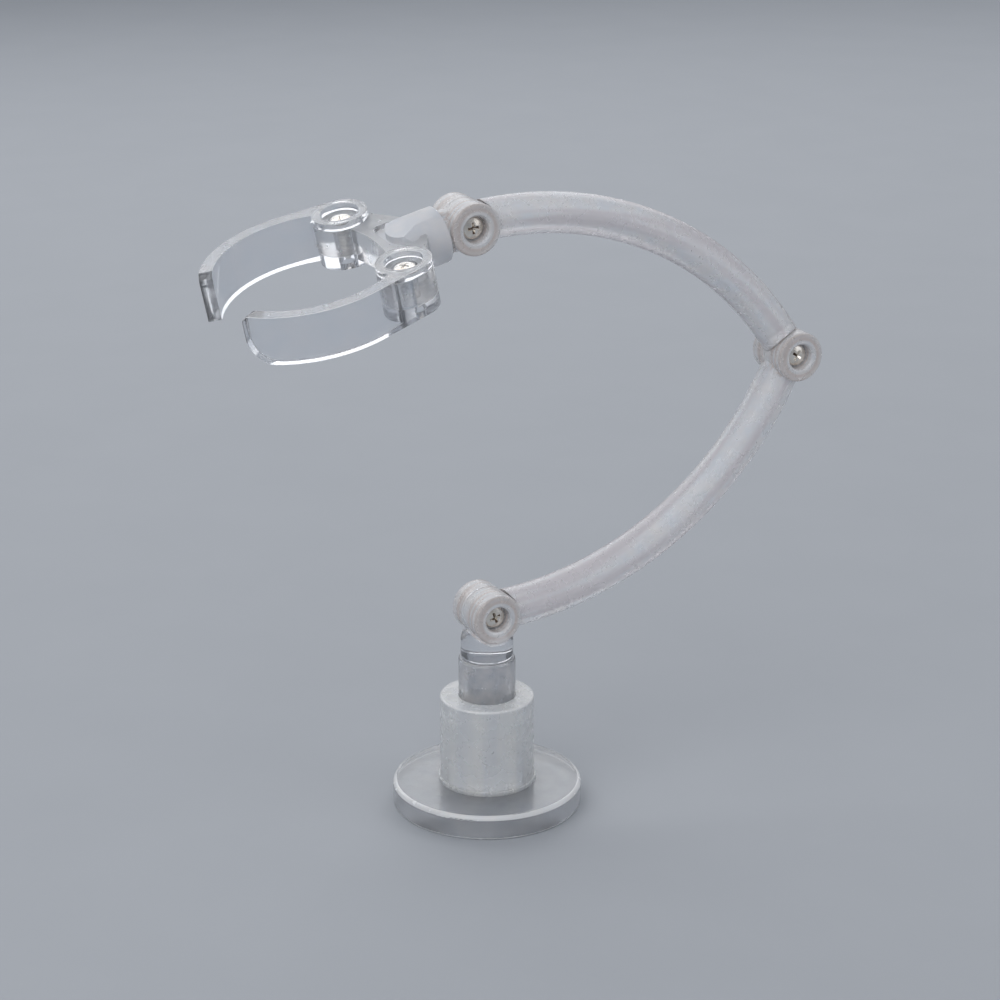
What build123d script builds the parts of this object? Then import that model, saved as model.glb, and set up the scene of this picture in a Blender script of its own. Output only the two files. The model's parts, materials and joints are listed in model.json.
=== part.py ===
from build123d import *
import math
import os

# Clear articulated stand: weighted disc foot, two curved arms and a ring-shaped claw.
# Origin at the centre of the foot's underside, +Z up, the arms lie in the XZ plane,
# the claw reaches towards -X and the screw heads face -Y. Millimetres.

# Foot
DISC_RADIUS = 15.0
DISC_THICK = 3.9
DISC_TOP_ROUND = 0.8
DISC_BOTTOM_ROUND = 0.3
HUB_RADIUS = 7.45
HUB_TOP = 18.2
HUB_ROUND = 0.35
BEAD_RADIUS = 7.75
BEAD_HEIGHT = 0.6
SOCKET_CORNER = 5.8
SOCKET_TOP = 14.6
SPIGOT_CORNER = 5.7
SPIGOT_TOP = 9.2
FIT_GAP = 0.1

# Neck tube, held in the hub by its hexagonal foot
NECK_RADIUS = 4.5
NECK_TOP = 24.67
NECK_FOOT_TOP = 14.5
STEM_RADIUS = 3.0
STEM_START = 11.2
NECK_FLOOR = 10.4
RUNNING_GAP = 0.05
NECK_ROUND = 0.45

# Hinge knuckles: a front lug and a rear lug lapped side by side
LUG_RADIUS = 4.0
LUG_FRONT = -4.2
LUG_SPLIT_FRONT = 0.4
LUG_SPLIT_REAR = 0.5
LUG_REAR = 4.2
LUG_ROUND = 0.35
LUG_CLEAR_RADIUS = 4.3
LUG_ROOM_MARGIN = 1.0
COLLAR_RADIUS = 4.15
COLLAR_DROP = 2.05
COLLAR_DOME = 2.5
COLLAR_ROUND = 0.3
CHIN_REACH = 4.57
ARM_STOP_ANGLE = -4.3
ARM_STOP_GAP = 0.25

# Arms: bent round rods
ARM_RADIUS = 3.15
ARM_BEND = 57.3
LOWER_PIVOT = (0.0, 32.15)
ELBOW_PIVOT = (53.85, 67.45)
UPPER_PIVOT = (-3.55, 94.7)

# Hinge screws
HEAD_RADIUS = 1.75
HEAD_HEIGHT = 1.2
HEAD_SINK = 1.2
HEAD_ROUND = 0.4
SHANK_RADIUS = 1.0
SHANK_END = 3.4
SHANK_TIP = 0.4
PILOT_END = 3.7
PILOT_GAP = 0.02
COUNTERBORE_RADIUS = 2.05
COUNTERBORE_MOUTH = 0.3
CROSS_LENGTH = 2.1
CROSS_WIDTH = 0.55
CROSS_DEPTH = 0.7

# Claw
CLAW_PITCH = 13.5
CLAW_ROLL = 6.6
BARREL_RADIUS = 4.35
BARREL_START = 4.4
BARREL_END = 12.4
BARREL_SLANT_START = 6.8
NOSE_TOP = 2.85
PLUG_STEM_RADIUS = 2.6
PLUG_STEM_END = 9.6
PLUG_NECK_RADIUS = 3.4
PLATE_TOP = 2.6
PLATE_BOTTOM = -2.5
PLATE_FRONT = 14.55
PLATE_FRONT_BEND = 26.0
PLATE_CORNER = (11.0, 9.4)
PLATE_WAIST = (7.9, 4.2)
MOAT_START = 8.7
MOAT_END = 13.3
MOAT_HALF = 4.4
MOAT_ROUND = 1.5
MOAT_FLOOR = 1.8
EAR_BOTTOM = -1.6
LUG_GAP = 0.05
PIVOT_ALONG = 15.06
PIVOT_ACROSS = 10.8
BOSS_RADIUS = 4.2
SLOT_RADIUS = 4.6
FINGER_TOP = 3.8
FINGER_BOTTOM = -3.8
FINGER_WINDOW = 2.93
BAND_CENTRE = 25.15
BAND_INNER = 14.3
BAND_OUTER = 16.3
BAND_TIP_ANGLE = 25.0
TIP_ROUND_SMALL = 1.5
TIP_ROUND_LARGE = 4.2
TIP_ROUND_LEAST = 0.5
TIP_CUT_MARGIN = 1.0
FRONT_FINGER_OPEN = 5.0
FINGER_HEAD_RADIUS = 1.7
FINGER_HEAD_TOP = 2.9
FINGER_HEAD_HEIGHT = 1.0
FINGER_HEAD_ROUND = 0.35
EAR_COUNTERBORE_RADIUS = 1.98
FINGER_SHANK_RADIUS = 0.95
FINGER_SHANK_END = -3.4


def pivot_plane(pivot):
    """Plane on a hinge axis: local x along +X, local y along +Z, normal towards -Y."""
    return Plane(origin=(pivot[0], 0, pivot[1]), x_dir=(1, 0, 0), z_dir=(0, -1, 0))


def front_lug(pivot):
    """Disc nearest -Y with a sunk seat for the screw head."""
    depth = LUG_SPLIT_FRONT - LUG_FRONT
    seat = HEAD_SINK + HEAD_HEIGHT
    with BuildPart() as lug:
        with BuildSketch(pivot_plane(pivot).offset(-LUG_SPLIT_FRONT)):
            Circle(LUG_RADIUS)
        extrude(amount=depth)
        fillet(lug.edges().sort_by(Axis.Y)[0], LUG_ROUND)
        with BuildSketch(pivot_plane(pivot).offset(-LUG_FRONT - seat)):
            Circle(COUNTERBORE_RADIUS)
        extrude(amount=seat, mode=Mode.SUBTRACT)
        chamfer(lug.edges().filter_by(GeomType.CIRCLE).group_by(Axis.Y)[0], COUNTERBORE_MOUTH)
        with BuildSketch(pivot_plane(pivot).offset(-LUG_SPLIT_FRONT)):
            Circle(SHANK_RADIUS + RUNNING_GAP)
        extrude(amount=depth, mode=Mode.SUBTRACT)
    return lug.part


def rear_lug(pivot):
    """Disc nearest +Y with a blind pilot hole the screw threads into."""
    with BuildPart() as lug:
        with BuildSketch(pivot_plane(pivot).offset(-LUG_REAR)):
            Circle(LUG_RADIUS)
        extrude(amount=LUG_REAR - LUG_SPLIT_REAR)
        fillet(lug.edges().sort_by(Axis.Y)[-1], LUG_ROUND)
        with BuildSketch(pivot_plane(pivot).offset(-PILOT_END)):
            Circle(SHANK_RADIUS + PILOT_GAP)
        extrude(amount=PILOT_END - LUG_SPLIT_REAR, mode=Mode.SUBTRACT)
    return lug.part


def lug_room(pivot, front):
    """Room swept by the other piece's lug: front half or rear half of the knuckle."""
    start = LUG_SPLIT_REAR if front else LUG_REAR + LUG_ROOM_MARGIN
    end = LUG_FRONT - LUG_ROOM_MARGIN if front else LUG_SPLIT_FRONT
    with BuildPart() as room:
        with BuildSketch(pivot_plane(pivot).offset(-start)):
            Circle(LUG_CLEAR_RADIUS)
        extrude(amount=start - end)
    return room.part


def bent_rod(start, end):
    """Round rod bent to a constant radius between two hinge axes."""
    chord = math.dist(start, end)
    along = ((end[0] - start[0]) / chord, (end[1] - start[1]) / chord)
    inward = math.sqrt(ARM_BEND**2 - (chord / 2) ** 2)
    centre_x = (start[0] + end[0]) / 2 - along[1] * inward
    centre_z = (start[1] + end[1]) / 2 + along[0] * inward
    radial = ((start[0] - centre_x) / ARM_BEND, (start[1] - centre_z) / ARM_BEND)
    tangent = (-radial[1], 0, radial[0])
    sweep_angle = 2 * math.degrees(math.asin(chord / 2 / ARM_BEND))
    with BuildPart() as rod:
        with BuildSketch(Plane(origin=(start[0], 0, start[1]), x_dir=(0, 1, 0), z_dir=tangent)):
            Circle(ARM_RADIUS)
        revolve(axis=Axis((centre_x, 0, centre_z), (0, -1, 0)), revolution_arc=sweep_angle)
    return rod.part


def hinge_screw(pivot):
    """Pan-head screw with a cross recess, head towards -Y."""
    head_face = LUG_FRONT + HEAD_SINK
    seat = head_face + HEAD_HEIGHT
    with BuildPart() as screw:
        with BuildSketch(pivot_plane(pivot).offset(-seat)):
            Circle(HEAD_RADIUS)
        extrude(amount=HEAD_HEIGHT)
        fillet(screw.edges().sort_by(Axis.Y)[0], HEAD_ROUND)
        with BuildSketch(pivot_plane(pivot).offset(-SHANK_END)):
            Circle(SHANK_RADIUS)
        extrude(amount=SHANK_END - seat)
        chamfer(screw.edges().sort_by(Axis.Y)[-1], SHANK_TIP)
        with BuildSketch(pivot_plane(pivot).offset(-head_face - CROSS_DEPTH)):
            Rectangle(CROSS_LENGTH, CROSS_WIDTH, rotation=20)
            Rectangle(CROSS_WIDTH, CROSS_LENGTH, rotation=20)
        extrude(amount=CROSS_DEPTH, mode=Mode.SUBTRACT)
    return screw.part


# Claw frame: local x from the upper hinge out along the barrel, local z up through the ring
pitch = math.radians(CLAW_PITCH)
roll = math.radians(CLAW_ROLL)
reach = Vector(-math.cos(pitch), 0, -math.sin(pitch))
upright = Vector(-math.sin(pitch), 0, math.cos(pitch))
CLAW = Plane(
    origin=(UPPER_PIVOT[0], 0, UPPER_PIVOT[1]),
    x_dir=reach,
    z_dir=upright * math.cos(roll) + upright.cross(reach) * math.sin(roll),
)
HINGE = Plane(origin=(UPPER_PIVOT[0], 0, UPPER_PIVOT[1]), x_dir=reach, z_dir=upright)


def claw_solid(outline, bottom, top):
    """Prism of a plan outline between two heights of the claw frame."""
    with BuildPart() as prism:
        with BuildSketch(CLAW.offset(bottom)):
            add(outline)
        extrude(amount=top - bottom)
    return prism.part


def disc_outline(centre, radius):
    """Plan circle of the claw frame."""
    with BuildSketch() as outline:
        with Locations(centre):
            Circle(radius)
    return outline.sketch


def band_point(radius, angle):
    """Point on the ring by radius and polar angle from the reach direction."""
    theta = math.radians(angle)
    return (BAND_CENTRE + radius * math.cos(theta), radius * math.sin(theta))


def finger_outline(side):
    """Plan of one jaw: boss, outer tangent web and a band of the ring."""
    span = math.hypot(BAND_CENTRE - PIVOT_ALONG, PIVOT_ACROSS)
    boss_angle = math.degrees(math.atan2(PIVOT_ACROSS, PIVOT_ALONG - BAND_CENTRE))
    lean = math.degrees(math.acos((BAND_OUTER - BOSS_RADIUS) / span))
    web_angle = boss_angle - lean
    normal = math.radians(web_angle)
    boss_x = PIVOT_ALONG + BOSS_RADIUS * math.cos(normal)
    boss_y = PIVOT_ACROSS + BOSS_RADIUS * math.sin(normal)
    middle = (BAND_TIP_ANGLE + boss_angle) / 2
    outer_middle = (BAND_TIP_ANGLE + web_angle) / 2
    with BuildSketch() as outline:
        with BuildLine():
            Line(band_point(BAND_INNER, BAND_TIP_ANGLE), band_point(BAND_OUTER, BAND_TIP_ANGLE))
            ThreePointArc(
                band_point(BAND_OUTER, BAND_TIP_ANGLE),
                band_point(BAND_OUTER, outer_middle),
                band_point(BAND_OUTER, web_angle),
            )
            Line(band_point(BAND_OUTER, web_angle), (boss_x, boss_y))
            Line((boss_x, boss_y), band_point(BAND_INNER, boss_angle))
            ThreePointArc(
                band_point(BAND_INNER, boss_angle),
                band_point(BAND_INNER, middle),
                band_point(BAND_INNER, BAND_TIP_ANGLE),
            )
        make_face()
        with Locations((PIVOT_ALONG, PIVOT_ACROSS)):
            Circle(BOSS_RADIUS)
    if side < 0:
        return mirror(outline.sketch, about=Plane.XZ)
    return outline.sketch


def finger(side, turn, top_round, bottom_round):
    """One jaw of the claw, forked over the yoke's ear, its tip corners rounded."""
    pivot = (PIVOT_ALONG, side * PIVOT_ACROSS)
    tip = band_point(BAND_OUTER, BAND_TIP_ANGLE)
    tip_direction = math.radians(BAND_TIP_ANGLE - 90)
    corner_reach = BAND_OUTER + TIP_CUT_MARGIN
    corner_bulge = 1 - math.sqrt(0.5)
    with BuildPart() as jaw:
        add(claw_solid(finger_outline(side), FINGER_BOTTOM, FINGER_TOP))
        add(
            claw_solid(disc_outline(pivot, SLOT_RADIUS), EAR_BOTTOM - LUG_GAP, PLATE_TOP + LUG_GAP),
            mode=Mode.SUBTRACT,
        )
        add(claw_solid(disc_outline(pivot, FINGER_WINDOW), PLATE_TOP, FINGER_TOP), mode=Mode.SUBTRACT)
        add(
            claw_solid(disc_outline(pivot, FINGER_SHANK_RADIUS + PILOT_GAP), FINGER_BOTTOM, EAR_BOTTOM),
            mode=Mode.SUBTRACT,
        )
        tip_plane = Plane(
            origin=CLAW.from_local_coords((tip[0], side * tip[1], 0)),
            x_dir=CLAW.x_dir * math.cos(tip_direction) + CLAW.y_dir * math.sin(tip_direction) * side,
            z_dir=CLAW.x_dir * math.cos(tip_direction + math.pi / 2)
            + CLAW.y_dir * math.sin(tip_direction + math.pi / 2) * side,
        )
        tip_up = tip_plane.to_local_coords(CLAW.z_dir + tip_plane.origin).Y
        for edge_height, radius in ((FINGER_TOP, top_round), (FINGER_BOTTOM, bottom_round)):
            outward = math.copysign(1, edge_height)
            edge_y = edge_height * tip_up
            step = outward * tip_up * radius
            with BuildSketch(tip_plane.offset(-corner_reach / 2)):
                with BuildLine():
                    Line((0, edge_y - step), (radius, edge_y - step))
                    Line((radius, edge_y - step), (radius, edge_y + step))
                    Line((radius, edge_y + step), (-radius, edge_y + step))
                    Line((-radius, edge_y + step), (-radius, edge_y))
                    ThreePointArc(
                        (-radius, edge_y),
                        (-radius * corner_bulge, edge_y - step * corner_bulge),
                        (0, edge_y - step),
                    )
                make_face()
            extrude(amount=corner_reach, mode=Mode.SUBTRACT)
    turn_axis = Axis(CLAW.from_local_coords((pivot[0], pivot[1], 0)), CLAW.z_dir)
    return jaw.part.rotate(turn_axis, side * turn)


def finger_screw(side):
    """Short pan-head screw on a jaw hinge, head towards the claw's top."""
    pivot = (PIVOT_ALONG, side * PIVOT_ACROSS)
    seat = FINGER_HEAD_TOP - FINGER_HEAD_HEIGHT
    with BuildPart() as screw:
        with BuildSketch(CLAW.offset(seat)):
            with Locations(pivot):
                Circle(FINGER_HEAD_RADIUS)
        extrude(amount=FINGER_HEAD_HEIGHT)
        fillet(screw.edges().sort_by(Axis(CLAW.origin, CLAW.z_dir))[-1], FINGER_HEAD_ROUND)
        with BuildSketch(CLAW.offset(FINGER_SHANK_END)):
            with Locations(pivot):
                Circle(FINGER_SHANK_RADIUS)
        extrude(amount=seat - FINGER_SHANK_END)
        chamfer(screw.edges().sort_by(Axis(CLAW.origin, CLAW.z_dir))[0], SHANK_TIP)
        with BuildSketch(CLAW.offset(FINGER_HEAD_TOP - CROSS_DEPTH)):
            with Locations(pivot):
                Rectangle(CROSS_LENGTH, CROSS_WIDTH, rotation=30 * side)
                Rectangle(CROSS_WIDTH, CROSS_LENGTH, rotation=30 * side)
        extrude(amount=CROSS_DEPTH, mode=Mode.SUBTRACT)
    return screw.part


os.makedirs("parts", exist_ok=True)

# Foot disc with the hexagonal spigot that locates the hub
with BuildPart() as base_disc:
    with BuildSketch(Plane.XY):
        Circle(DISC_RADIUS)
    extrude(amount=DISC_THICK)
    fillet(base_disc.edges().sort_by(Axis.Z)[-1], DISC_TOP_ROUND)
    fillet(base_disc.edges().sort_by(Axis.Z)[0], DISC_BOTTOM_ROUND)
    with BuildSketch(Plane.XY.offset(DISC_THICK)):
        RegularPolygon(SPIGOT_CORNER, 6)
    extrude(amount=SPIGOT_TOP - DISC_THICK)
base_disc.part.label = "base_disc"
export_step(base_disc.part, "parts/base_disc.step")

# Hub: sleeve over the spigot, with a bore for the neck tube at the top
with BuildPart() as base_hub:
    with BuildSketch(Plane.XY.offset(DISC_THICK)):
        Circle(HUB_RADIUS)
    extrude(amount=HUB_TOP - DISC_THICK)
    fillet(base_hub.edges().sort_by(Axis.Z)[-1], HUB_ROUND)
    with BuildSketch(Plane.XY.offset(DISC_THICK)):
        Circle(BEAD_RADIUS)
    extrude(amount=BEAD_HEIGHT)
    with BuildSketch(Plane.XY.offset(DISC_THICK)):
        RegularPolygon(SOCKET_CORNER, 6)
    extrude(amount=SOCKET_TOP - DISC_THICK, mode=Mode.SUBTRACT)
    with BuildSketch(Plane.XY.offset(SOCKET_TOP)):
        Circle(NECK_RADIUS + FIT_GAP / 2)
    extrude(amount=HUB_TOP - SOCKET_TOP, mode=Mode.SUBTRACT)
base_hub.part.label = "base_hub"
export_step(base_hub.part, "parts/base_hub.step")

# Neck tube: hexagonal foot trapped in the hub, bored for the swivel stem
with BuildPart() as neck_tube:
    with BuildSketch(Plane.XY.offset(NECK_FOOT_TOP)):
        Circle(NECK_RADIUS)
    extrude(amount=NECK_TOP - NECK_FOOT_TOP)
    fillet(neck_tube.edges().sort_by(Axis.Z)[-1], NECK_ROUND)
    with BuildSketch(Plane.XY.offset(SPIGOT_TOP + FIT_GAP)):
        RegularPolygon(SPIGOT_CORNER, 6)
    extrude(amount=NECK_FOOT_TOP - SPIGOT_TOP - FIT_GAP)
    with BuildSketch(Plane.XY.offset(NECK_FLOOR)):
        Circle(STEM_RADIUS + RUNNING_GAP)
    extrude(amount=NECK_TOP - NECK_FLOOR, mode=Mode.SUBTRACT)
neck_tube.part.label = "neck_tube"
export_step(neck_tube.part, "parts/neck_tube.step")

# Lower swivel plug: stem, domed collar and the front lug of the lower hinge on a pointed web
collar_bottom = NECK_TOP + FIT_GAP
collar_top = LOWER_PIVOT[1] - COLLAR_DROP
chin_angle = math.acos(LUG_RADIUS / CHIN_REACH)
chin_x = LUG_RADIUS * math.sin(chin_angle)
chin_y = -LUG_RADIUS * math.cos(chin_angle)
with BuildPart() as lower_plug:
    with BuildSketch(Plane.XY.offset(collar_bottom)):
        Circle(COLLAR_RADIUS)
    extrude(amount=collar_top - collar_bottom)
    fillet(lower_plug.edges().sort_by(Axis.Z)[-1], COLLAR_DOME)
    fillet(lower_plug.edges().sort_by(Axis.Z)[0], COLLAR_ROUND)
    with BuildSketch(Plane.XY.offset(STEM_START)):
        Circle(STEM_RADIUS)
    extrude(amount=collar_bottom - STEM_START)
    chamfer(lower_plug.edges().sort_by(Axis.Z)[0], SHANK_TIP)
    stop_angle = math.radians(ARM_STOP_ANGLE)
    stop_direction = (math.cos(stop_angle), 0, math.sin(stop_angle))
    with BuildSketch(Plane(origin=(0, 0, LOWER_PIVOT[1]), x_dir=(0, 1, 0), z_dir=stop_direction)):
        Circle(ARM_RADIUS + ARM_STOP_GAP)
    extrude(amount=2 * COLLAR_RADIUS, mode=Mode.SUBTRACT)
    with BuildSketch(pivot_plane(LOWER_PIVOT).offset(-LUG_SPLIT_FRONT)):
        Polygon((-chin_x, chin_y), (0, -CHIN_REACH), (chin_x, chin_y), (0, -COUNTERBORE_RADIUS), align=None)
    extrude(amount=LUG_SPLIT_FRONT - LUG_FRONT - LUG_ROUND / 2)
    add(lug_room(LOWER_PIVOT, False), mode=Mode.SUBTRACT)
    with BuildSketch(pivot_plane(LOWER_PIVOT)):
        Circle(LUG_RADIUS - LUG_ROUND)
    extrude(amount=-LUG_FRONT, both=True, mode=Mode.SUBTRACT)
    add(front_lug(LOWER_PIVOT))
lower_plug.part.label = "lower_plug"
export_step(lower_plug.part, "parts/lower_plug.step")

# Lower arm: rear lug at the bottom, front lug at the elbow
with BuildPart() as lower_arm:
    add(bent_rod(LOWER_PIVOT, ELBOW_PIVOT))
    add(lug_room(LOWER_PIVOT, True), mode=Mode.SUBTRACT)
    add(lug_room(ELBOW_PIVOT, False), mode=Mode.SUBTRACT)
    with BuildSketch(pivot_plane(LOWER_PIVOT).offset(-LUG_REAR)):
        Circle(SHANK_RADIUS + PILOT_GAP)
    extrude(amount=LUG_REAR, mode=Mode.SUBTRACT)
    with BuildSketch(pivot_plane(ELBOW_PIVOT)):
        Circle(COUNTERBORE_RADIUS)
    extrude(amount=-LUG_FRONT, both=True, mode=Mode.SUBTRACT)
    add(rear_lug(LOWER_PIVOT))
    add(front_lug(ELBOW_PIVOT))
lower_arm.part.label = "lower_arm"
export_step(lower_arm.part, "parts/lower_arm.step")

# Upper arm: rear lugs at both ends
with BuildPart() as upper_arm:
    add(bent_rod(ELBOW_PIVOT, UPPER_PIVOT))
    for pivot in (ELBOW_PIVOT, UPPER_PIVOT):
        add(lug_room(pivot, True), mode=Mode.SUBTRACT)
        with BuildSketch(pivot_plane(pivot).offset(-LUG_REAR)):
            Circle(SHANK_RADIUS + PILOT_GAP)
        extrude(amount=LUG_REAR, mode=Mode.SUBTRACT)
        add(rear_lug(pivot))
upper_arm.part.label = "upper_arm"
export_step(upper_arm.part, "parts/upper_arm.step")

# Upper swivel plug: front lug of the upper hinge and the stem inside the claw barrel
with BuildPart() as upper_plug:
    with BuildSketch(Plane(origin=HINGE.origin, x_dir=(0, 1, 0), z_dir=reach).offset(LUG_RADIUS / 2)):
        Circle(PLUG_NECK_RADIUS)
    extrude(amount=BARREL_START - FIT_GAP - LUG_RADIUS / 2)
    with BuildSketch(Plane(origin=HINGE.origin, x_dir=(0, 1, 0), z_dir=reach).offset(LUG_RADIUS / 2)):
        Circle(PLUG_STEM_RADIUS)
    extrude(amount=PLUG_STEM_END - LUG_RADIUS / 2)
    chamfer(upper_plug.edges().sort_by(Axis.X)[0], SHANK_TIP)
    add(lug_room(UPPER_PIVOT, False), mode=Mode.SUBTRACT)
    with BuildSketch(pivot_plane(UPPER_PIVOT)):
        Circle(LUG_RADIUS - LUG_ROUND)
    extrude(amount=-LUG_FRONT, both=True, mode=Mode.SUBTRACT)
    add(front_lug(UPPER_PIVOT))
upper_plug.part.label = "upper_plug"
export_step(upper_plug.part, "parts/upper_plug.step")

# Claw yoke: barrel, plate with a hollowed front edge and an ear for each jaw
front_edge_y = PIVOT_ACROSS - BOSS_RADIUS / 2
front_edge_x = PLATE_FRONT + PLATE_FRONT_BEND - math.sqrt(PLATE_FRONT_BEND**2 - front_edge_y**2)
with BuildSketch() as plate_outline:
    with BuildLine():
        ThreePointArc(
            (front_edge_x, front_edge_y),
            (PLATE_FRONT, 0),
            (front_edge_x, -front_edge_y),
        )
        Line((front_edge_x, -front_edge_y), (PLATE_CORNER[0], -PLATE_CORNER[1]))
        Line((PLATE_CORNER[0], -PLATE_CORNER[1]), (PLATE_WAIST[0], -PLATE_WAIST[1]))
        Line((PLATE_WAIST[0], -PLATE_WAIST[1]), PLATE_WAIST)
        Line(PLATE_WAIST, PLATE_CORNER)
        Line(PLATE_CORNER, (front_edge_x, front_edge_y))
    make_face()
with BuildSketch() as moat_outline:
    with Locations(((MOAT_START + MOAT_END) / 2, 0)):
        RectangleRounded(MOAT_END - MOAT_START, 2 * MOAT_HALF, MOAT_ROUND)
with BuildSketch() as nose_outline:
    with Locations((BARREL_END - BARREL_RADIUS, 0)):
        Circle(BARREL_RADIUS)
        Rectangle(BARREL_END, 2 * BARREL_RADIUS, align=(Align.MAX, Align.CENTER))
with BuildPart() as barrel:
    with BuildSketch(Plane(origin=CLAW.origin, x_dir=CLAW.y_dir, z_dir=reach).offset(BARREL_START)):
        Circle(BARREL_RADIUS)
    extrude(amount=BARREL_END - BARREL_START)
    add(claw_solid(nose_outline.sketch, -BARREL_RADIUS, BARREL_RADIUS), mode=Mode.INTERSECT)
    with BuildSketch(Plane(origin=CLAW.origin, x_dir=reach, z_dir=CLAW.y_dir * -1)):
        for face in (1, -1):
            with BuildLine():
                Polyline(
                    (BARREL_END, face * NOSE_TOP),
                    (BARREL_SLANT_START, face * BARREL_RADIUS),
                    (BARREL_SLANT_START, face * 2 * BARREL_RADIUS),
                    (2 * BARREL_END, face * 2 * BARREL_RADIUS),
                    (2 * BARREL_END, face * NOSE_TOP),
                    close=True,
                )
            make_face()
    extrude(amount=2 * BARREL_RADIUS, both=True, mode=Mode.SUBTRACT)
with BuildPart() as claw_yoke:
    add(claw_solid(plate_outline.sketch, PLATE_BOTTOM, PLATE_TOP))
    add(claw_solid(moat_outline.sketch, MOAT_FLOOR, PLATE_TOP), mode=Mode.SUBTRACT)
    add(barrel.part)
    for side in (1, -1):
        ear_centre = (PIVOT_ALONG, side * PIVOT_ACROSS)
        add(claw_solid(disc_outline(ear_centre, SLOT_RADIUS), PLATE_BOTTOM, EAR_BOTTOM), mode=Mode.SUBTRACT)
        add(claw_solid(disc_outline(ear_centre, BOSS_RADIUS), EAR_BOTTOM, PLATE_TOP))
        add(
            claw_solid(
                disc_outline(ear_centre, EAR_COUNTERBORE_RADIUS),
                FINGER_HEAD_TOP - FINGER_HEAD_HEIGHT,
                PLATE_TOP,
            ),
            mode=Mode.SUBTRACT,
        )
        add(
            claw_solid(disc_outline(ear_centre, FINGER_SHANK_RADIUS + RUNNING_GAP), EAR_BOTTOM, PLATE_TOP),
            mode=Mode.SUBTRACT,
        )
    with BuildSketch(Plane(origin=CLAW.origin, x_dir=CLAW.y_dir, z_dir=reach).offset(BARREL_START)):
        Circle(PLUG_STEM_RADIUS + RUNNING_GAP)
    extrude(amount=PLUG_STEM_END + FIT_GAP - BARREL_START, mode=Mode.SUBTRACT)
claw_yoke.part.label = "claw_yoke"
export_step(claw_yoke.part, "parts/claw_yoke.step")

# Jaws of the claw
with BuildPart() as finger_rear:
    add(finger(-1, 0.0, TIP_ROUND_SMALL, TIP_ROUND_LEAST))
finger_rear.part.label = "finger_rear"
export_step(finger_rear.part, "parts/finger_rear.step")

with BuildPart() as finger_front:
    add(finger(1, FRONT_FINGER_OPEN, TIP_ROUND_SMALL, TIP_ROUND_LARGE))
finger_front.part.label = "finger_front"
export_step(finger_front.part, "parts/finger_front.step")

# Screws
with BuildPart() as screw_lower:
    add(hinge_screw(LOWER_PIVOT))
screw_lower.part.label = "screw_lower"
export_step(screw_lower.part, "parts/screw_lower.step")

with BuildPart() as screw_elbow:
    add(hinge_screw(ELBOW_PIVOT))
screw_elbow.part.label = "screw_elbow"
export_step(screw_elbow.part, "parts/screw_elbow.step")

with BuildPart() as screw_upper:
    add(hinge_screw(UPPER_PIVOT))
screw_upper.part.label = "screw_upper"
export_step(screw_upper.part, "parts/screw_upper.step")

with BuildPart() as screw_finger_rear:
    add(finger_screw(-1))
screw_finger_rear.part.label = "screw_finger_rear"
export_step(screw_finger_rear.part, "parts/screw_finger_rear.step")

with BuildPart() as screw_finger_front:
    add(finger_screw(1))
screw_finger_front.part.label = "screw_finger_front"
export_step(screw_finger_front.part, "parts/screw_finger_front.step")
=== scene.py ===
import bmesh
import bpy
import json
import math
from mathutils import Matrix, Vector


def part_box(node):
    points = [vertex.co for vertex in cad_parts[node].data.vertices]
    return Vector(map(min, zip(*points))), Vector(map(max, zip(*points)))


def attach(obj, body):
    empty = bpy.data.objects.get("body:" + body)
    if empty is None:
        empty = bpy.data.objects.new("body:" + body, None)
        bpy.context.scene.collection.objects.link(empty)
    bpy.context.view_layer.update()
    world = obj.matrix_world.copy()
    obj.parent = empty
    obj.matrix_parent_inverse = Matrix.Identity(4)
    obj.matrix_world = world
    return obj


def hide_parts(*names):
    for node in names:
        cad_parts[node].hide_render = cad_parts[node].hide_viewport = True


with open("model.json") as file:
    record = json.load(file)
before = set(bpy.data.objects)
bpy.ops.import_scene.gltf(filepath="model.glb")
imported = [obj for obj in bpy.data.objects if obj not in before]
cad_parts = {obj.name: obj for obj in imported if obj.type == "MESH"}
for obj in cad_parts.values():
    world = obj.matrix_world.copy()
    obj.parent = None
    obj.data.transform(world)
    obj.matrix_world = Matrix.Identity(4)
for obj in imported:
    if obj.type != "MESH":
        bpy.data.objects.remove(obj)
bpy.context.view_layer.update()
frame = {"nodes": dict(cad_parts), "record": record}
scene = bpy.context.scene
nodes = frame["nodes"]
MM = 0.001
joints = {joint["name"]: joint for joint in frame["record"]["behaviour"]["joints"]}

# ---------------------------------------------------------------- camera
AZIMUTH = math.radians(-26.66)
ELEVATION = math.radians(19.62)
DISTANCE = 0.42828
SIDE_SHIFT = 0.00206
LOOK_HEIGHT = 0.05069

back = Vector((
    math.sin(AZIMUTH) * math.cos(ELEVATION),
    -math.cos(AZIMUTH) * math.cos(ELEVATION),
    math.sin(ELEVATION),
))
right = Vector((math.cos(AZIMUTH), math.sin(AZIMUTH), 0))
look = Vector((0, 0, LOOK_HEIGHT)) + right * SIDE_SHIFT
camera_data = bpy.data.cameras.new("camera")
camera_data.lens = 100.0
camera_data.sensor_width = 36.0
camera_data.clip_start = 0.01
camera = bpy.data.objects.new("camera", camera_data)
camera.location = look + back * DISTANCE
camera.rotation_euler = (math.pi / 2 - ELEVATION, 0, AZIMUTH)
scene.collection.objects.link(camera)
scene.camera = camera

# ---------------------------------------------------------------- directions of the claw
CLAW_UP = Vector(joints["jaw_rear_hinge"]["axis"]).normalized()
REACH = Vector(joints["claw_roll"]["axis"]).normalized()
HINGE_AXIS = Vector((0, -1, 0))


# ---------------------------------------------------------------- material helpers
PLASTIC_IOR = 1.49
DRIFT_SHARE = 0.06
RING_TINT = (0.80, 0.73, 0.70)
# Tint of the arm streaks: painted shade for dark refracted bands.
PAINTED_SHADE_STREAK_TINT = (0.84, 0.80, 0.82)
FACET_TINT = (0.86, 0.88, 0.91)


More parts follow.
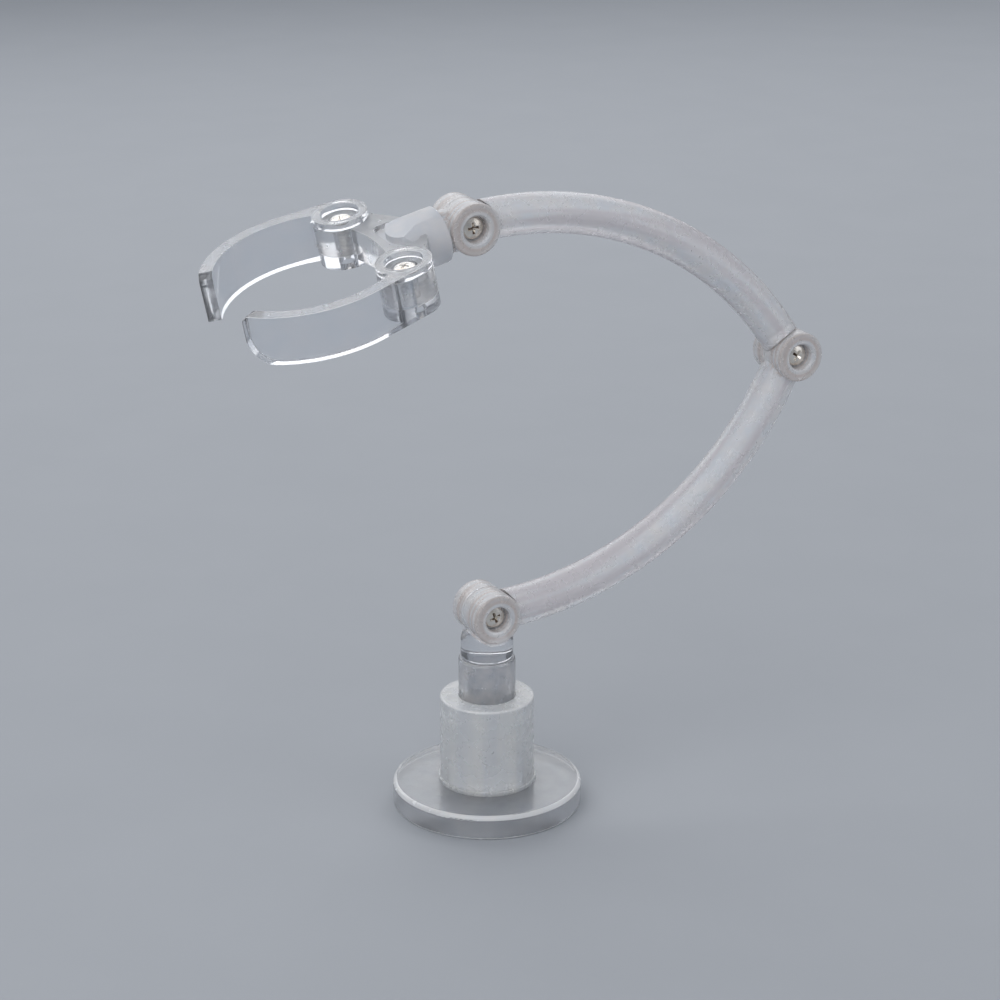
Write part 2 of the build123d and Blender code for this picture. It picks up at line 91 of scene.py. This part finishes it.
def new_material(name):
    material = bpy.data.materials.new(name)
    material.use_nodes = True
    tree = material.node_tree
    tree.nodes.clear()
    output = tree.nodes.new("ShaderNodeOutputMaterial")
    shader = tree.nodes.new("ShaderNodeBsdfPrincipled")
    tree.links.new(shader.outputs["BSDF"], output.inputs["Surface"])
    return material, tree, shader


def stretched(tree, stretch):
    where = tree.nodes.new("ShaderNodeTexCoord")
    mapping = tree.nodes.new("ShaderNodeMapping")
    mapping.inputs["Scale"].default_value = stretch
    tree.links.new(where.outputs["Object"], mapping.inputs["Vector"])
    return mapping.outputs["Vector"]


def noise_on(tree, vector, scale, detail=3.0, rough=0.5):
    texture = tree.nodes.new("ShaderNodeTexNoise")
    texture.inputs["Scale"].default_value = scale
    texture.inputs["Detail"].default_value = detail
    texture.inputs["Roughness"].default_value = rough
    tree.links.new(vector, texture.inputs["Vector"])
    return texture.outputs["Fac"]


def noise(tree, scale, detail=4.0, rough=0.55, stretch=(1, 1, 1)):
    return noise_on(tree, stretched(tree, stretch), scale, detail, rough)


def spread(tree, source, low, high, start=0.3, end=0.7):
    node = tree.nodes.new("ShaderNodeMapRange")
    node.inputs["From Min"].default_value = start
    node.inputs["From Max"].default_value = end
    node.inputs["To Min"].default_value = low
    node.inputs["To Max"].default_value = high
    tree.links.new(source, node.inputs["Value"])
    return node.outputs["Result"]


def tint(tree, source, first, second, start=0.35, end=0.65):
    node = tree.nodes.new("ShaderNodeValToRGB")
    node.color_ramp.elements[0].position = start
    node.color_ramp.elements[0].color = (*first, 1)
    node.color_ramp.elements[1].position = end
    node.color_ramp.elements[1].color = (*second, 1)
    tree.links.new(source, node.inputs["Fac"])
    return node.outputs["Color"]


def push(tree, height, strength, distance, below=None):
    node = tree.nodes.new("ShaderNodeBump")
    node.inputs["Strength"].default_value = strength
    node.inputs["Distance"].default_value = distance
    tree.links.new(height, node.inputs["Height"])
    if below is not None:
        tree.links.new(below, node.inputs["Normal"])
    return node.outputs["Normal"]


def around(tree, centre):
    """Vector of (distance from an axis along Y, place along it, slow drift), for turned and bent shapes."""
    where = tree.nodes.new("ShaderNodeTexCoord")
    shift = tree.nodes.new("ShaderNodeVectorMath")
    shift.operation = "SUBTRACT"
    shift.inputs[1].default_value = centre
    tree.links.new(where.outputs["Object"], shift.inputs[0])
    parts = tree.nodes.new("ShaderNodeSeparateXYZ")
    tree.links.new(shift.outputs["Vector"], parts.inputs["Vector"])
    flat = tree.nodes.new("ShaderNodeCombineXYZ")
    tree.links.new(parts.outputs["X"], flat.inputs["X"])
    tree.links.new(parts.outputs["Z"], flat.inputs["Y"])
    length = tree.nodes.new("ShaderNodeVectorMath")
    length.operation = "LENGTH"
    tree.links.new(flat.outputs["Vector"], length.inputs[0])
    drift = tree.nodes.new("ShaderNodeMath")
    drift.operation = "MULTIPLY"
    drift.inputs[1].default_value = DRIFT_SHARE
    tree.links.new(parts.outputs["X"], drift.inputs[0])
    joined = tree.nodes.new("ShaderNodeCombineXYZ")
    tree.links.new(length.outputs["Value"], joined.inputs["X"])
    tree.links.new(parts.outputs["Y"], joined.inputs["Y"])
    tree.links.new(drift.outputs["Value"], joined.inputs["Z"])
    return joined.outputs["Vector"]


def blend(tree, share, first, second):
    node = tree.nodes.new("ShaderNodeMix")
    node.data_type = "RGBA"
    tree.links.new(share, node.inputs["Factor"])
    for socket, value in ((node.inputs[6], first), (node.inputs[7], second)):
        if isinstance(value, tuple):
            socket.default_value = (*value, 1)
        else:
            tree.links.new(value, socket)
    return node.outputs[2]


def plastic(
    name, cool, warm, transmission, rough, grain, ripple=0.0, ripple_stretch=(1, 1, 1),
    turned=None, bent=None, upright=False, scratches=0.0,
):
    """Clear plastic with cloudy tint, patchy gloss, grain and mould ripples.

    turned is the centre of turned rings, bent the centre of pinkish-grey streaks along an arm, whose colour
    is painted shade for dark refracted bands and whose slight bump is real; upright adds facets.
    """
    material, tree, shader = new_material(name)
    cloud = noise(tree, 330.0, 3.0)
    colour = tint(tree, cloud, cool, warm)
    shader.inputs["Transmission Weight"].default_value = transmission
    shader.inputs["IOR"].default_value = PLASTIC_IOR
    patches = noise(tree, 500.0, 2.0, 0.5)
    gloss = spread(tree, patches, rough[0], rough[1])
    normal = push(tree, noise(tree, 1800.0, 1.0, 0.4), grain, 0.00001)
    if ripple:
        normal = push(tree, noise(tree, 240.0, 2.0, 0.5, ripple_stretch), ripple, 0.0003, normal)
    if turned is not None:
        rings = noise_on(tree, around(tree, turned), 1500.0, 1.0, 0.4)
        colour = blend(tree, spread(tree, rings, 0.0, 1.0, 0.38, 0.58), RING_TINT, colour)
        normal = push(tree, rings, 0.1, 0.00004, normal)
    if bent is not None:
        # Pinkish-grey streaks along the arm: painted shade for dark bands refracted through it, with a
        # slight real bump.
        streaks = noise_on(tree, around(tree, bent), 620.0, 1.0, 0.4)
        colour = blend(tree, spread(tree, streaks, 0.0, 1.0, 0.4, 0.56), PAINTED_SHADE_STREAK_TINT, colour)
        normal = push(tree, streaks, 0.04, 0.00005, normal)
    if upright:
        facets = noise(tree, 520.0, 2.0, 0.5, (1, 1, 0.07))
        colour = blend(tree, spread(tree, facets, 0.0, 1.0, 0.34, 0.62), FACET_TINT, colour)
        normal = push(tree, facets, 0.04, 0.00005, normal)
    if scratches:
        lines = noise(tree, 1400.0, 2.0, 0.6, (0.12, 1.6, 1))
        normal = push(tree, lines, scratches, 0.00006, normal)
    tree.links.new(colour, shader.inputs["Base Color"])
    tree.links.new(gloss, shader.inputs["Roughness"])
    tree.links.new(normal, shader.inputs["Normal"])
    return material


ARM_BEND = 57.3 * MM


def arc_centre(start, end, radius=ARM_BEND):
    """Centre of the bend of an arm between two hinges."""
    span = end - start
    inward = math.sqrt(radius ** 2 - (span.length / 2) ** 2)
    along = span.normalized()
    return (start + end) / 2 + Vector((-along.z, 0, along.x)) * inward


LOWER = Vector(joints["lower_hinge"]["pos_m"])
ELBOW = Vector(joints["elbow_hinge"]["pos_m"])
UPPER = Vector(joints["upper_hinge"]["pos_m"])

COOL = (0.90, 0.93, 0.97)
WARM = (0.97, 0.95, 0.94)
clear = plastic("clear_plastic", COOL, (0.96, 0.96, 0.98), 0.93, (0.03, 0.12), 0.06, 0.05)
hazy = plastic("hazy_plastic", COOL, WARM, 0.80, (0.14, 0.30), 0.10, 0.08, scratches=0.25)
# Frosted plastic for the top faces of the yoke plate: the rough, grainy frosting is real, and its grey
# colour is painted shade.
frost_and_painted_shade = plastic("frost_and_painted_shade_plastic", (0.70, 0.71, 0.73), (0.86, 0.86, 0.86), 0.75, (0.25, 0.45), 0.5, 0.1)
frosted = plastic("frosted_plastic", (0.86, 0.88, 0.92), (0.95, 0.94, 0.95), 0.42, (0.32, 0.5), 0.22, 0.06)
# Whiter, less clear plastic for bevel faces and rolled edges: a painted highlight along the edges.
painted_highlight = plastic("painted_highlight_plastic", (0.95, 0.96, 0.98), (0.99, 0.98, 0.97), 0.30, (0.15, 0.3), 0.1)
knuckles = {
    name: plastic("knuckle_" + name, COOL, WARM, 0.40, (0.20, 0.34), 0.05, 0.02, turned=centre)
    for name, centre in (("lower", LOWER), ("elbow", ELBOW), ("upper", UPPER))
}
rods = {
    name: plastic("rod_" + name, COOL, WARM, 0.45, (0.22, 0.34), 0.05, 0.02, bent=centre)
    for name, centre in (("lower", arc_centre(LOWER, ELBOW)), ("upper", arc_centre(ELBOW, UPPER)))
}
milky = plastic(
    "milky_plastic", (0.92, 0.94, 0.94), (0.97, 0.97, 0.96), 0.40, (0.2, 0.34), 0.05, 0.04, (3, 3, 0.4),
    upright=True,
)
neck = plastic("neck_plastic", (0.74, 0.77, 0.82), WARM, 0.72, (0.10, 0.28), 0.06, 0.25, (2, 2, 1))
collar = plastic("collar_plastic", COOL, (0.96, 0.96, 0.98), 0.9, (0.03, 0.15), 0.06, 0.2)
disc = plastic("disc_plastic", (0.80, 0.83, 0.87), (0.93, 0.93, 0.95), 0.80, (0.14, 0.26), 0.05, 0.03)


def metal(name, metallic, colour, rough, dents):
    """Metal with a mottled colour, patchy gloss and small dents; each group starts with its noise scale."""
    material, tree, shader = new_material(name)
    tree.links.new(tint(tree, noise(tree, colour[0]), colour[1], colour[2]), shader.inputs["Base Color"])
    shader.inputs["Metallic"].default_value = metallic
    gloss = noise(tree, rough[0], rough[1])
    tree.links.new(spread(tree, gloss, rough[2], rough[3]), shader.inputs["Roughness"])
    tree.links.new(push(tree, noise(tree, dents[0], 3.0), dents[1], 0.00008), shader.inputs["Normal"])
    return material


nickel = metal(
    "nickel", 1.0,
    colour=(900.0, (0.80, 0.74, 0.66), (0.92, 0.89, 0.84)),
    rough=(1600.0, 4.0, 0.08, 0.24),
    dents=(2600.0, 0.35),
)
# Near-black, brownish metal inside the cross recesses: painted shade in the recesses.
recess = metal(
    "painted_shade_recess_metal", 0.85,
    colour=(1500.0, (0.05, 0.03, 0.02), (0.18, 0.12, 0.08)),
    rough=(2200.0, 3.0, 0.3, 0.55),
    dents=(3000.0, 0.4),
)


# ---------------------------------------------------------------- moulded copies of the solids
WELD = 2e-6
FLAT_ANGLE = math.radians(0.4)
EDGE_ANGLE = math.radians(32)


def body_name(node_name):
    for name, members in frame["record"]["behaviour"]["bodies"].items():
        if node_name in members:
            return name
    return None


def moulded(node_name, bevel, main, rules=()):
    """Copy of a solid with broken edges. Each rule is (test of a face's normal and middle, material)."""
    source = nodes[node_name]
    mesh = source.data.copy()
    mesh.name = node_name + "_moulded"
    piece = bpy.data.objects.new(node_name + "_moulded", mesh)
    piece.matrix_world = source.matrix_world
    scene.collection.objects.link(piece)
    mesh.materials.clear()
    mesh.materials.append(main)
    mesh.materials.append(painted_highlight)
    for rule in rules:
        mesh.materials.append(rule[1])
    shape = bmesh.new()
    shape.from_mesh(mesh)
    bmesh.ops.remove_doubles(shape, verts=shape.verts, dist=WELD)
    bmesh.ops.dissolve_limit(shape, angle_limit=FLAT_ANGLE, verts=shape.verts, edges=shape.edges)
    for face in shape.faces:
        face.material_index = 0
        face.smooth = True
        middle = face.calc_center_median()
        for number, (test, material) in enumerate(rules):
            if test(face.normal, middle):
                face.material_index = 2 + number
    shape.to_mesh(mesh)
    shape.free()
    for attribute in ("custom_normal", "sharp_face", "sharp_edge"):
        if attribute in mesh.attributes:
            mesh.attributes.remove(mesh.attributes[attribute])
    modifier = piece.modifiers.new("edges", "BEVEL")
    modifier.width = bevel * MM
    modifier.segments = 2
    modifier.limit_method = "ANGLE"
    modifier.angle_limit = EDGE_ANGLE
    # The bevel faces take slot 1, the painted highlight material.
    modifier.material = 1
    modifier.harden_normals = False
    modifier.use_clamp_overlap = True
    normals = piece.modifiers.new("normals", "WEIGHTED_NORMAL")
    normals.keep_sharp = False
    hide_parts(node_name)
    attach(piece, body_name(node_name))


UP = Vector((0, 0, 1))
BROKEN_EDGE = 0.12
KNUCKLE_REACH = 4.4 * MM
BARREL_REACH = 4.45 * MM
BARREL_END = 12.4 * MM


def near(centre):
    """Test for the faces of a knuckle: close to its hinge axis."""
    return lambda normal, middle: math.hypot(middle.x - centre.x, middle.z - centre.z) < KNUCKLE_REACH


def facing(direction, least):
    """Test for the faces that look along a direction."""
    return lambda normal, middle: normal.dot(direction) > least


def on_barrel(normal, middle):
    """Test for the faces of the claw's round barrel."""
    from_axis = middle - UPPER
    along = from_axis.dot(REACH)
    return (from_axis - REACH * along).length < BARREL_REACH and along < BARREL_END


def rounded(normal, middle):
    """Test for the rolled edges of a turned part, between its flat faces and its upright walls."""
    return 0.2 < abs(normal.z) < 0.95


flat_tops = ((facing(CLAW_UP, 0.98), hazy),)
at_lower = (near(LOWER), knuckles["lower"])
at_elbow = (near(ELBOW), knuckles["elbow"])
at_upper = (near(UPPER), knuckles["upper"])
for node_name, main, rules in (
    # The rolled edges of the disc and hub take the painted highlight material.
    ("base_disc", disc, ((rounded, painted_highlight),)),
    ("base_hub", milky, ((rounded, painted_highlight),)),
    ("neck_tube", neck, ((facing(UP, 0.9), frosted),)),
    ("lower_plug", collar, (at_lower,)),
    ("lower_arm", rods["lower"], (at_lower, at_elbow)),
    ("upper_arm", rods["upper"], (at_upper, at_elbow)),
    ("upper_plug", knuckles["upper"], ()),
    # The yoke plate's top faces take the grey painted shade.
    ("claw_yoke", hazy, ((facing(CLAW_UP, 0.98), frost_and_painted_shade), (on_barrel, frosted))),
    ("finger_rear", clear, flat_tops),
    ("finger_front", clear, flat_tops),
):
    moulded(node_name, BROKEN_EDGE, main, rules)


# ---------------------------------------------------------------- screws
HEAD_DOME = 0.16 * MM
HEAD_RIM = 0.38 * MM
THREAD_PITCH = 0.62 * MM
THREAD_STEPS = 10
THREAD_AROUND = 36


def revolve_profile(shape, profile, segments=72):
    """Skin of a turned profile of (radius, height) points, capped where it starts and ends."""
    rings = []
    for radius, height in profile:
        rings.append([
            shape.verts.new((
                radius * math.cos(2 * math.pi * step / segments),
                radius * math.sin(2 * math.pi * step / segments),
                height,
            ))
            for step in range(segments)
        ])
    for first, second in zip(rings, rings[1:]):
        for step in range(segments):
            following = (step + 1) % segments
            shape.faces.new((first[step], first[following], second[following], second[step]))
    shape.faces.new(list(reversed(rings[0])))
    shape.faces.new(rings[-1])


def mesh_object(name, shape):
    bmesh.ops.recalc_face_normals(shape, faces=shape.faces)
    mesh = bpy.data.meshes.new(name)
    shape.to_mesh(mesh)
    shape.free()
    piece = bpy.data.objects.new(name, mesh)
    scene.collection.objects.link(piece)
    return piece


def tapered_bar(name, turn, top, reach_top, reach_bottom, width_top, width_bottom, depth):
    """One arm of the cross recess, as a wedge narrowing downwards."""
    shape = bmesh.new()
    bmesh.ops.create_cube(shape, size=2.0)
    for corner in shape.verts:
        upper = corner.co.z > 0
        corner.co.x *= reach_top if upper else reach_bottom
        corner.co.y *= width_top if upper else width_bottom
        corner.co.z = top + 0.3 * MM if upper else top - depth
    bmesh.ops.rotate(shape, verts=shape.verts, cent=(0, 0, 0), matrix=Matrix.Rotation(turn, 3, "Z"))
    return mesh_object(name, shape)


def screw(node_name, top_centre, axis, turn, head_radius, head_height, shank_radius, shank_length):
    """Pan-head screw with a domed, cross-recessed head and a coarse thread; axis points out of the head."""
    shape = bmesh.new()
    dome = HEAD_DOME
    rim = HEAD_RIM
    profile = [(shank_radius * 1.05, -head_height), (head_radius * 0.97, -head_height)]
    for step in range(9):
        angle = math.pi / 2 * step / 8
        profile.append((
            head_radius - rim + rim * math.cos(angle),
            -dome - rim + rim * math.sin(angle),
        ))
    flat = head_radius - rim
    for step in range(1, 7):
        share = step / 7
        profile.append((flat * (1 - share), -dome * (1 - share) ** 2))
    revolve_profile(shape, profile)
    head = mesh_object(node_name + "_head", shape)
    for number in (0, 1):
        cutter = tapered_bar(
            "cutter", turn + number * math.pi / 2, 0.0,
            0.62 * head_radius, 0.30 * head_radius,
            0.145 * head_radius, 0.085 * head_radius, 0.62 * head_height,
        )
        cut = head.modifiers.new("recess", "BOOLEAN")
        cut.operation = "DIFFERENCE"
        cut.solver = "EXACT"
        cut.object = cutter
        whole = bpy.data.meshes.new_from_object(head.evaluated_get(bpy.context.evaluated_depsgraph_get()))
        head.modifiers.clear()
        head.data = whole
        bpy.data.objects.remove(cutter)
    shape = bmesh.new()
    shape.from_mesh(head.data)
    for face in shape.faces:
        middle = face.calc_center_median()
        away = math.hypot(middle.x, middle.y)
        face.smooth = True
        inside = away < 0.7 * head_radius and middle.z < -dome * 1.3 and middle.z > -0.7 * head_height
        # Faces inside the cross recess take the near-black metal, painted shade.
        face.material_index = 1 if inside else 0
    pitch = THREAD_PITCH
    bite = 0.2 * shank_radius
    length = shank_length - head_height
    rows = int(length / pitch * THREAD_STEPS)
    rings = []
    for row in range(rows + 1):
        down = length * row / rows
        fade = min(1.0, (length - down) / (1.3 * pitch))
        ring = []
        for step in range(THREAD_AROUND):
            angle = 2 * math.pi * step / THREAD_AROUND
            phase = (down / pitch - step / THREAD_AROUND) % 1.0
            crest = 1 - abs(2 * phase - 1)
            radius = (shank_radius - bite) * (0.45 + 0.55 * fade) + bite * fade * crest ** 1.4 * 0.98
            ring.append(shape.verts.new((
                radius * math.cos(angle), radius * math.sin(angle), -head_height - down,
            )))
        rings.append(ring)
    for first, second in zip(rings, rings[1:]):
        for step in range(THREAD_AROUND):
            following = (step + 1) % THREAD_AROUND
            face = shape.faces.new((first[step], second[step], second[following], first[following]))
            face.smooth = True
    shape.faces.new(rings[0])
    shape.faces.new(list(reversed(rings[-1])))
    bmesh.ops.recalc_face_normals(shape, faces=shape.faces)
    piece = mesh_object(node_name + "_threaded", shape)
    bpy.data.objects.remove(head)
    piece.data.materials.append(nickel)
    piece.data.materials.append(recess)
    softened = piece.modifiers.new("edges", "BEVEL")
    softened.width = 0.03 * MM
    softened.segments = 1
    softened.limit_method = "ANGLE"
    softened.angle_limit = math.radians(50)
    turned = axis.to_track_quat("Z", "Y").to_matrix().to_4x4()
    turned.translation = top_centre
    piece.data.transform(turned)
    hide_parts(node_name)
    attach(piece, body_name(node_name))


HINGE_HEAD_HEIGHT = 1.2 * MM
HINGE_SHANK_RADIUS = 1.0 * MM
for node_name, turn in (("screw_lower", 0.35), ("screw_elbow", 1.0), ("screw_upper", 0.1)):
    low, high = (Vector(corner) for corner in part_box(node_name))
    middle = (low + high) / 2
    radius = (high.x - low.x) / 2
    screw(
        node_name, Vector((middle.x, low.y, middle.z)), HINGE_AXIS, turn,
        radius, HINGE_HEAD_HEIGHT, HINGE_SHANK_RADIUS, high.y - low.y,
    )

FINGER_SCREW_TOP = 2.9 * MM
FINGER_SCREW_LENGTH = 6.3 * MM
FINGER_HEAD_RADIUS = 1.68 * MM
FINGER_HEAD_HEIGHT = 0.97 * MM
FINGER_SHANK_RADIUS = 0.9 * MM
for node_name, joint_name, turn in (
    ("screw_finger_rear", "jaw_rear_hinge", 0.5),
    ("screw_finger_front", "jaw_front_hinge", 0.15),
):
    pivot = Vector(joints[joint_name]["pos_m"])
    screw(
        node_name, pivot + CLAW_UP * FINGER_SCREW_TOP, CLAW_UP, turn,
        FINGER_HEAD_RADIUS, FINGER_HEAD_HEIGHT, FINGER_SHANK_RADIUS, FINGER_SCREW_LENGTH,
    )

# ---------------------------------------------------------------- floor and light
bpy.ops.mesh.primitive_plane_add(size=6, location=(0, 0, -0.0001))
floor = bpy.context.object
floor.name = "floor"
floor_material, tree, shader = new_material("floor_paper")
paper = tint(tree, noise(tree, 40.0, 6.0), (0.41, 0.43, 0.46), (0.418, 0.438, 0.468))
tree.links.new(paper, shader.inputs["Base Color"])
shader.inputs["Roughness"].default_value = 0.75
floor.data.materials.append(floor_material)

world = bpy.data.worlds.new("world")
scene.world = world
world.use_nodes = True
world.node_tree.nodes["Background"].inputs["Color"].default_value = (0.86, 0.91, 1.0, 1)
world.node_tree.nodes["Background"].inputs["Strength"].default_value = 0.36


def lamp(name, place, size, power, target=(0.01, 0, 0.05)):
    data = bpy.data.lights.new(name, "AREA")
    data.shape = "RECTANGLE"
    data.size = size[0]
    data.size_y = size[1]
    data.energy = power
    lamp_object = bpy.data.objects.new(name, data)
    lamp_object.location = place
    lamp_object.rotation_euler = (Vector(target) - Vector(place)).to_track_quat("-Z", "Y").to_euler()
    scene.collection.objects.link(lamp_object)


lamp("key", (-0.45, -0.35, 0.6), (0.9, 0.9), 3.2)
lamp("fill", (0.5, -0.45, 0.3), (0.5, 0.8), 0.8)
lamp("rim", (0.15, 0.55, 0.5), (1.2, 0.6), 2.8)

scene.view_settings.view_transform = "Standard"
